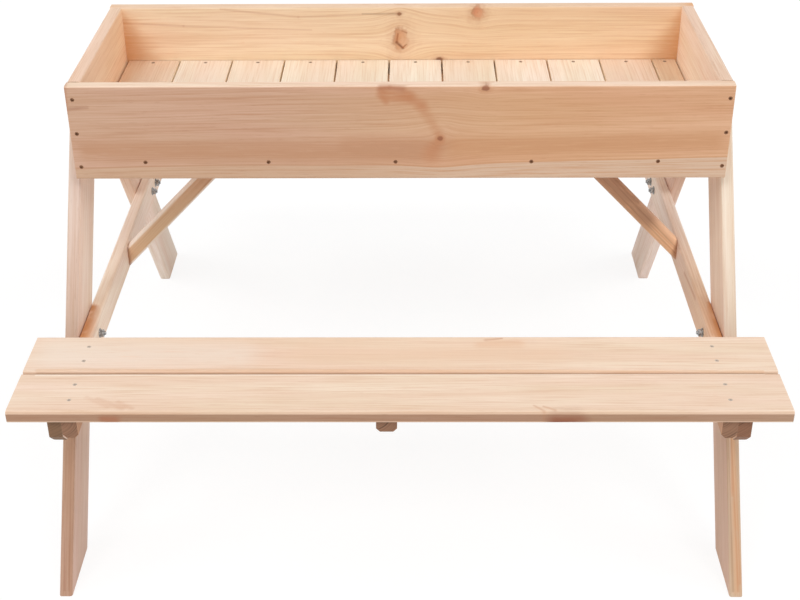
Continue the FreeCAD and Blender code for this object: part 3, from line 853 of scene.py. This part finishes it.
def dress_braces():
    """Sloping braces with painted shade along their joints with the beams; the right one is brown towards its
    top, and the left one has a painted highlight on its narrow faces.
    """
    # The left brace's narrow faces take a painted highlight.
    dress(
        "left_brace", *brace_axes("left"), LEFT_BRACE_TONE, LEFT_BRACE_TOP_TONE,
        [Edge(BRACE_PAINTED_HIGHLIGHT_TONE, start=0.15, full=0.6)], heart=(0.03, -0.03),
        # Painted shade along the joint with the beam.
        colour_streaks=[ColourStreak((-0.188, 0.012), (-0.165, -0.010), 0.008, 0.005, SCAR_TONE, 0.75)],
    )
    dress(
        "right_brace", *brace_axes("right"), RIGHT_BRACE_TONE, RIGHT_BRACE_TOP_TONE, heart=(0.03, -0.03),
        ring=0.004, late=0.9,
        colour_streaks=[
            ColourStreak((-0.092, 0.004), (0.18, 0.002), 0.03, 0.036, BRACE_SHADE_TONE, 0.85),
            ColourStreak((-0.06, 0.011), (0.18, 0.01), 0.005, 0.008, SHADE_TONE, 0.45),
            # Painted shade at the foot, along the joint with the beam.
            ColourStreak((-0.181, -0.012), (-0.157, 0.011), 0.016, 0.005, SCAR_TONE, 0.75),
            ColourStreak((-0.17, 0.003), (0.02, 0.006), 0.0022, 0.0016, KNOT_RIM_TONE, 0.28),
            ColourStreak((-0.17, -0.004), (0.06, -0.002), 0.002, 0.0014, KNOT_RIM_TONE, 0.24),
        ],
    )


def dress_planks():
    """Seat planks, darker on their long narrow faces and roundings as painted shade; the front ones have
    marks of their own, painted shade along the gap between them and a painted highlight on the outer plank's
    rear edge.
    """
    outer_marks = [
        ColourStreak((-0.402, -0.012), (-0.372, -0.032), 0.006, 0.007, RESIN_TONE, 0.18),
        ColourStreak((-0.388, -0.014), (-0.352, -0.036), 0.005, 0.008, RESIN_TONE, 0.22),
        ColourStreak((-0.36, -0.022), (-0.34, -0.036), 0.006, 0.006, RESIN_TONE, 0.22),
        edge_streak(PLANK_EDGE, (-0.376, -0.002), (-0.362, -0.004), 0.01, 0.013, RED_TONE, 0.7),
        edge_streak(PLANK_FACE, (0.2, -0.008), (0.226, -0.008), 0.022, 0.022, SCAR_TONE, 1.0),
        ColourStreak((0.172, -0.03), (0.184, -0.042), 0.003, 0.004, RESIN_TONE, 0.35),
        ColourStreak((0.184, -0.032), (0.198, -0.04), 0.003, 0.004, RESIN_TONE, 0.35),
        # A painted highlight along the rear edge.
        ColourStreak((-PLANK_END, 0.0395), (PLANK_END, 0.041), 0.0034, 0.0018, SEAT_PAINTED_HIGHLIGHT_TONE, 0.8),
        # Painted shade along the gap to the inner plank.
        ColourStreak((-PLANK_END, 0.0455), (PLANK_END, 0.0455), 0.0036, 0.0024, SHADE_TONE, 0.8),
    ]
    inner_marks = [
        ColourStreak((0.11, 0.022), (0.16, 0.024), 0.014, 0.018, ORANGE_TONE, 0.4),
        ColourStreak((0.118, 0.034), (0.14, 0.038), 0.005, 0.003, RESIN_TONE, 0.6),
        ColourStreak((-0.46, 0.0), (-0.22, 0.0), 0.07, 0.05, SEAT_PALE_TONE, 0.8),
        ColourStreak((-0.12, 0.0), (0.2, 0.0), 0.06, 0.05, SEAT_WARM_TONE, 0.6),
        # Painted shade on the rounding into the gap to the outer plank, warm, then dark along the gap.
        ColourStreak((-PLANK_END, -0.04), (PLANK_END, -0.042), 0.006, 0.003, ORANGE_TONE, 0.4),
        ColourStreak((-PLANK_END, -0.0465), (PLANK_END, -0.0462), 0.0046, 0.0028, SHADE_TONE, 0.85),
    ]
    marks = {"front_seat_outer_plank": outer_marks, "front_seat_inner_plank": inner_marks}
    # Painted shade on the planks' roundings and long narrow faces.
    edges = [Edge(SEAT_ROUNDING_PAINTED_SHADE_TONE, start=0.4, full=0.75), Edge(SEAT_FACE_PAINTED_SHADE_TONE, start=0.97, full=0.9995)]
    for end in ENDS:
        for place in ("inner", "outer"):
            node = "%s_seat_%s_plank" % (end, place)
            dress(
                node, X_AXIS, Y_AXIS, SEAT_TONE, None, edges, heart=(0.09, -0.05), late=0.35,
                colour_streaks=marks.get(node, ()),
            )


def dress_cleats():
    """Cleats under the seat planks; their dark end grain is darkened further as painted shade."""
    for end in ENDS:
        for place in ("left", "right", "middle"):
            node = "%s_seat_%s_cleat" % (end, place)
            dress(node, Y_AXIS, Z_AXIS, CLEAT_TONE, end_tone=CLEAT_END_GRAIN_AND_SHADE_TONE, heart=(0.02, -0.02), late=0.6)


def metal_material(name, tone, roughness, cloud_share=0.62, metallic=1.0):
    """Plated steel, faintly pitted, whose clouds keep a share of its tone. Dust makes it less of a mirror."""
    material, graph, shader = new_material(name)
    place = graph.node("ShaderNodeTexCoord").outputs["Object"]
    cloud = graph.noise(place, CLOUD_SCALE, CLOUD_DETAIL)["Fac"]
    pits = graph.noise(place, PIT_SCALE)["Fac"]
    dark = shared(tone, [cloud_share] * 3)
    colour = graph.blend(graph.step(cloud, *CLOUD_RANGE), dark, tone)
    dull = graph.times(cloud, CLOUD_ROUGHNESS, roughness)
    surface(graph, shader, colour, dull, pits, PIT_RELIEF)
    shader.inputs["Metallic"].default_value = metallic
    return material


def solids_of(node):
    """The corners of each separate solid in a node."""
    mesh = bmesh.new()
    mesh.from_mesh(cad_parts[node].data)
    bmesh.ops.remove_doubles(mesh, verts=mesh.verts, dist=SAME_PLACE)
    seen = set()
    solids = []
    for start in mesh.verts:
        if start in seen:
            continue
        seen.add(start)
        waiting = [start]
        corners = []
        while waiting:
            corner = waiting.pop()
            corners.append(corner.co.copy())
            for edge in corner.link_edges:
                other = edge.other_vert(corner)
                if other not in seen:
                    seen.add(other)
                    waiting.append(other)
        solids.append(corners)
    mesh.free()
    return solids


def skin(mesh, rings, place, closed=False):
    """Faces between rings of points, moved to their place. A ring of one point closes an end."""
    loops = [[mesh.verts.new(place @ point) for point in loop] for loop in rings]
    following = loops[1:] + loops[:1] if closed else loops[1:]
    for first, second in zip(loops, following):
        count = max(len(first), len(second))
        for here in range(count):
            there = (here + 1) % count
            around = (
                first[here % len(first)], first[there % len(first)],
                second[there % len(second)], second[here % len(second)],
            )
            mesh.faces.new(list(dict.fromkeys(around)))


def ring(radius, height, angles=FASTENER_ANGLES):
    return [Vector((radius * math.cos(angle), radius * math.sin(angle), height)) for angle in angles]


def cross_angles(half_width, reach):
    """Angles round a cross that meet all its corners, with one more on each arm's side."""
    corner = math.atan2(half_width, reach)
    aside = (corner + math.pi / 4) / 2
    quarter = (0, corner, aside, math.pi / 4, math.pi / 2 - aside, math.pi / 2 - corner)
    return [turn * math.pi / 2 + angle for turn in range(4) for angle in quarter]


def cross_ring(half_width, reach, height, angles):
    """The outline of a cross, seen from its middle at some angles."""
    points = []
    for angle in angles:
        aside = abs((angle + math.pi / 4) % (math.pi / 2) - math.pi / 4)
        on_end = math.tan(aside) * reach <= half_width + SAME_PLACE
        radius = reach / math.cos(aside) if on_end else half_width / math.sin(aside)
        points += ring(radius, height, [angle])
    return points


def thread_rings(start, turns, pitch, crest, root, angles=FASTENER_ANGLES):
    """A thread, from its start downwards."""
    rings = []
    for turn in range(turns):
        height = start - (turn + 0.5) * pitch
        rings.append(ring(root, height, angles))
        rings.append(ring(crest, height - pitch / 2, angles))
    return rings


def screw_rings(length, radius):
    """A countersunk wood screw with a cross recess, from its head's recess down to its tip."""
    half_width = RECESS_HALF_WIDTH * radius
    reach = RECESS_REACH * radius
    depth = RECESS_DEPTH * radius
    shank = SHANK_SHARE * radius
    core = CORE_SHARE * radius
    angles = cross_angles(half_width, reach)
    rings = [
        [Vector((0, 0, -depth))],
        cross_ring(half_width * RECESS_FOOT_WIDTH, reach * RECESS_FOOT_REACH, -depth, angles),
        cross_ring(half_width, reach, SCREW_PROUD, angles),
        ring(radius - SCREW_BEVEL, SCREW_PROUD, angles),
        ring(radius, SCREW_PROUD - SCREW_BEVEL, angles),
        ring(shank, -SCREW_HEAD_DEPTH, angles),
    ]
    turns = int((length - SCREW_HEAD_DEPTH - SCREW_TIP) / SCREW_THREAD_PITCH)
    rings += thread_rings(-SCREW_HEAD_DEPTH, turns, SCREW_THREAD_PITCH, shank, core, angles)
    rings.append([Vector((0, 0, -length))])
    return rings


def bolt_rings(length, radius, head, shank):
    """A round-headed bolt, from its dome's top down to its threaded end."""
    rings = [[Vector((0, 0, 0))]]
    for part in range(1, DOME_STEPS + 1):
        tilt = part / DOME_STEPS * math.pi / 2
        rings.append(ring(radius * math.sin(tilt), head * DOME_SHARE * (math.cos(tilt) - 1)))
    rings.append(ring(radius, -head))
    rings.append(ring(shank, -head))
    turns = int(BOLT_THREAD_LENGTH / BOLT_THREAD_PITCH)
    start = -length + (turns + 1) * BOLT_THREAD_PITCH
    rings.append(ring(shank, start))
    rings += thread_rings(start, turns, BOLT_THREAD_PITCH, shank, shank - BOLT_THREAD_DEPTH)
    rings.append(ring(shank * BOLT_TIP_SHARE, -length))
    rings.append([Vector((0, 0, -length))])
    return rings


def both_faces(rings):
    """The rings of a flat fastener's upper half, and their mirror images for its lower half."""
    return rings + [[Vector((point.x, point.y, -point.z)) for point in loop] for loop in reversed(rings)]


def washer_rings(thickness, radius, hole):
    """A flat ring with eased edges, about its own middle."""
    top = thickness / 2
    ease = thickness / 4
    return both_faces([
        ring(hole, top - ease), ring(hole + ease, top), ring(radius - ease, top), ring(radius, top - ease),
    ])


def nut_rings(thickness, radius, hole):
    """A six-sided nut with its corners turned down at both faces, about its own middle."""
    top = thickness / 2
    flat = radius * math.cos(math.pi / 6)
    outline = []
    for angle in FASTENER_ANGLES:
        aside = angle % (math.pi / 3) - math.pi / 6
        reach = flat / math.cos(aside)
        drop = (reach - flat) * math.tan(math.pi / 6) + NUT_CHAMFER_DROP
        outline += ring(reach, top - drop, [angle])
    ease = hole * NUT_HOLE_EASE
    return both_faces([
        ring(hole, top - ease), ring(hole + ease, top), ring(flat * NUT_FACE_SHARE, top), outline,
    ])


def turned_to(axis, point, roll):
    """The place of a fastener whose own axis is Z."""
    turn = axis.to_track_quat("Z", "Y").to_matrix().to_4x4()
    return Matrix.Translation(point) @ turn @ Matrix.Rotation(roll, 4, "Z")


def box_axis(corners, choose):
    """A solid's longest or shortest axis, its middle, and its sizes, the least one first."""
    low, high = extents(corners)
    size = high - low
    number = choose(range(3), key=lambda axis: size[axis])
    axis = Vector([float(index == number) for index in range(3)])
    return axis, (low + high) / 2, sorted(size)


def long_fastener(corners):
    """A screw's or bolt's axis, pointing out of its head, the head's top, its length, and how far its corners
    are from the axis and below the top."""
    axis, middle, sizes = box_axis(corners, max)
    length = sizes[-1]
    reaches = [(corner - middle).cross(axis).length for corner in corners]
    widest = corners[reaches.index(max(reaches))]
    if (widest - middle).dot(axis) < 0:
        axis = -axis
    top = middle + axis * length / 2
    depths = [(top - corner).dot(axis) for corner in corners]
    return axis, top, length, list(zip(reaches, depths))


def add_fasteners(node, material, make):
    """Detailed fasteners in the places of a node's plain ones."""
    mesh = bmesh.new()
    chance = random.Random(node)
    for corners in solids_of(node):
        make(mesh, corners, chance.uniform(0, 2 * math.pi))
    bmesh.ops.recalc_face_normals(mesh, faces=mesh.faces)
    for face in mesh.faces:
        face.smooth = True
    data = bpy.data.meshes.new(node + "_detail")
    mesh.to_mesh(data)
    mesh.free()
    data.set_sharp_from_angle(angle=SHARP_ANGLE)
    data.materials.append(material)
    piece = new_object(node + "_detail", data)
    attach(piece, BODY)
    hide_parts(node)


def make_screw(mesh, corners, roll):
    axis, top, length, measures = long_fastener(corners)
    radius = max(reach for reach, depth in measures)
    skin(mesh, screw_rings(length, radius), turned_to(axis, top, roll))


def make_bolt(mesh, corners, roll):
    axis, top, length, measures = long_fastener(corners)
    radius = max(reach for reach, depth in measures)
    head = max(depth for reach, depth in measures if reach > HEAD_REACH * radius)
    shank = max(reach for reach, depth in measures if depth > SHANK_DEPTH * length)
    skin(mesh, bolt_rings(length, radius, head, shank), turned_to(axis, top, roll))


def make_flat(mesh, corners, roll, flat_rings):
    """A washer or a nut, from its thickness, its greatest reach from its axis and its hole's radius."""
    axis, middle, sizes = box_axis(corners, min)
    hole = min((corner - middle).cross(axis).length for corner in corners)
    rings = flat_rings(sizes[0], sizes[-1] / 2, hole)
    skin(mesh, rings, turned_to(axis, middle, roll), closed=True)


def make_washer(mesh, corners, roll):
    make_flat(mesh, corners, roll, washer_rings)


def make_nut(mesh, corners, roll):
    make_flat(mesh, corners, roll, nut_rings)


def add_hardware():
    """Screws, bolts, washers and nuts."""
    # The corner and ledger screws are bronzed, and dark as painted shade standing for sunk heads.
    bronzed_shaded = metal_material("bronzed_shaded_screws", BRONZED_RECESS_SHADE_TONE, roughness=0.4)
    zinc = metal_material("zinc_screws", DULL_ZINC_TONE, roughness=0.4)
    bolts = metal_material("zinc_bolts", ZINC_TONE, roughness=0.26, cloud_share=0.36)
    dusty = metal_material("dusty_screws", DUSTY_ZINC_TONE, roughness=0.5, cloud_share=0.85, metallic=0.3)
    for node in ("corner_screws", "ledger_screws"):
        add_fasteners(node, bronzed_shaded, make_screw)
    for node in ("slat_screws", "batten_screws", "leg_screws", "brace_screws", "cleat_screws"):
        add_fasteners(node, zinc, make_screw)
    add_fasteners("seat_screws", dusty, make_screw)
    for node, make in (("bolts", make_bolt), ("washers", make_washer), ("nuts", make_nut)):
        add_fasteners(node, bolts, make)


def backdrop_rays(graph):
    """One for rays that show the background: seen directly, mirrored or through glass."""
    path = graph.node("ShaderNodeLightPath").outputs
    seen = graph.math("MAXIMUM", path["Is Camera Ray"], path["Is Glossy Ray"])
    return graph.math("MAXIMUM", seen, path["Is Transmission Ray"])


def add_floor():
    """A white floor, a hair below the feet, that keeps the table's shadow."""
    mesh = bpy.data.meshes.new("floor")
    half = FLOOR_SIZE / 2
    corners = [(x * half, y * half, -FLOOR_DROP) for x, y in ((-1, -1), (1, -1), (1, 1), (-1, 1))]
    mesh.from_pydata(corners, [], [(0, 1, 2, 3)])
    floor = new_object("floor", mesh)
    material, graph, shader = new_material("floor_white")
    material.node_tree.nodes.remove(shader)
    plain, shade = (
        graph.node("ShaderNodeBsdfDiffuse", {"Color": (grey, grey, grey, 1)}).outputs[0]
        for grey in (FLOOR_BOUNCE, FLOOR_SHADE)
    )
    glow = graph.node("ShaderNodeEmission", {"Color": (1, 1, 1, 1), "Strength": FLOOR_GLOW}).outputs[0]
    white = graph.node("ShaderNodeAddShader", {0: shade, 1: glow}).outputs[0]
    mixed = graph.node("ShaderNodeMixShader", {0: backdrop_rays(graph), 1: plain, 2: white}).outputs[0]
    graph.feed(material.node_tree.nodes["Material Output"].inputs["Surface"], mixed)
    mesh.materials.append(material)


def add_sky():
    """Even light from everywhere, in front of a white background."""
    world = bpy.data.worlds.new("studio")
    bpy.context.scene.world = world
    world.use_nodes = True
    graph = Graph(world.node_tree)
    strength = graph.times(backdrop_rays(graph), 1 - SKY_STRENGTH, SKY_STRENGTH)
    background = world.node_tree.nodes["Background"]
    background.inputs["Color"].default_value = (1, 1, 1, 1)
    graph.feed(background.inputs["Strength"], strength)


def add_lamps(name, strength, azimuth, elevation):
    """Two broad, distant lamps, the same way to the left and to the right of the front."""
    flat = math.cos(elevation)
    for side_name, side in SIDES.items():
        data = bpy.data.lights.new("%s_%s" % (name, side_name), "SUN")
        data.energy = strength
        data.angle = LAMP_SPREAD
        lamp = new_object(data.name, data)
        towards = Vector((side * flat * math.sin(azimuth), -flat * math.cos(azimuth), math.sin(elevation)))
        lamp.rotation_euler = towards.to_track_quat("Z", "Y").to_euler()


def add_camera():
    """The photograph's own view."""
    data = bpy.data.cameras.new("camera")
    data.sensor_fit = "HORIZONTAL"
    data.sensor_width = SENSOR_WIDTH
    data.lens = FOCAL_PIXELS / PHOTO_WIDTH * SENSOR_WIDTH
    camera = new_object("camera", data)
    aim = Matrix.Rotation(-CAMERA_YAW, 4, "Z") @ Matrix.Rotation(math.pi / 2 - CAMERA_PITCH, 4, "X")
    camera.matrix_world = Matrix.Translation(CAMERA_PLACE) @ aim @ Matrix.Rotation(CAMERA_ROLL, 4, "Z")
    bpy.context.scene.camera = camera


dress_front_board()
dress_rear_board()
dress_side_boards()
dress_floor()
dress_legs()
dress_beams()
dress_braces()
dress_planks()
dress_cleats()
add_hardware()
add_floor()
add_sky()
add_lamps("key", KEY_STRENGTH, KEY_AZIMUTH, KEY_ELEVATION)
add_lamps("side", SIDE_STRENGTH, SIDE_AZIMUTH, SIDE_ELEVATION)
add_camera()
bpy.context.scene.view_settings.view_transform = "Standard"
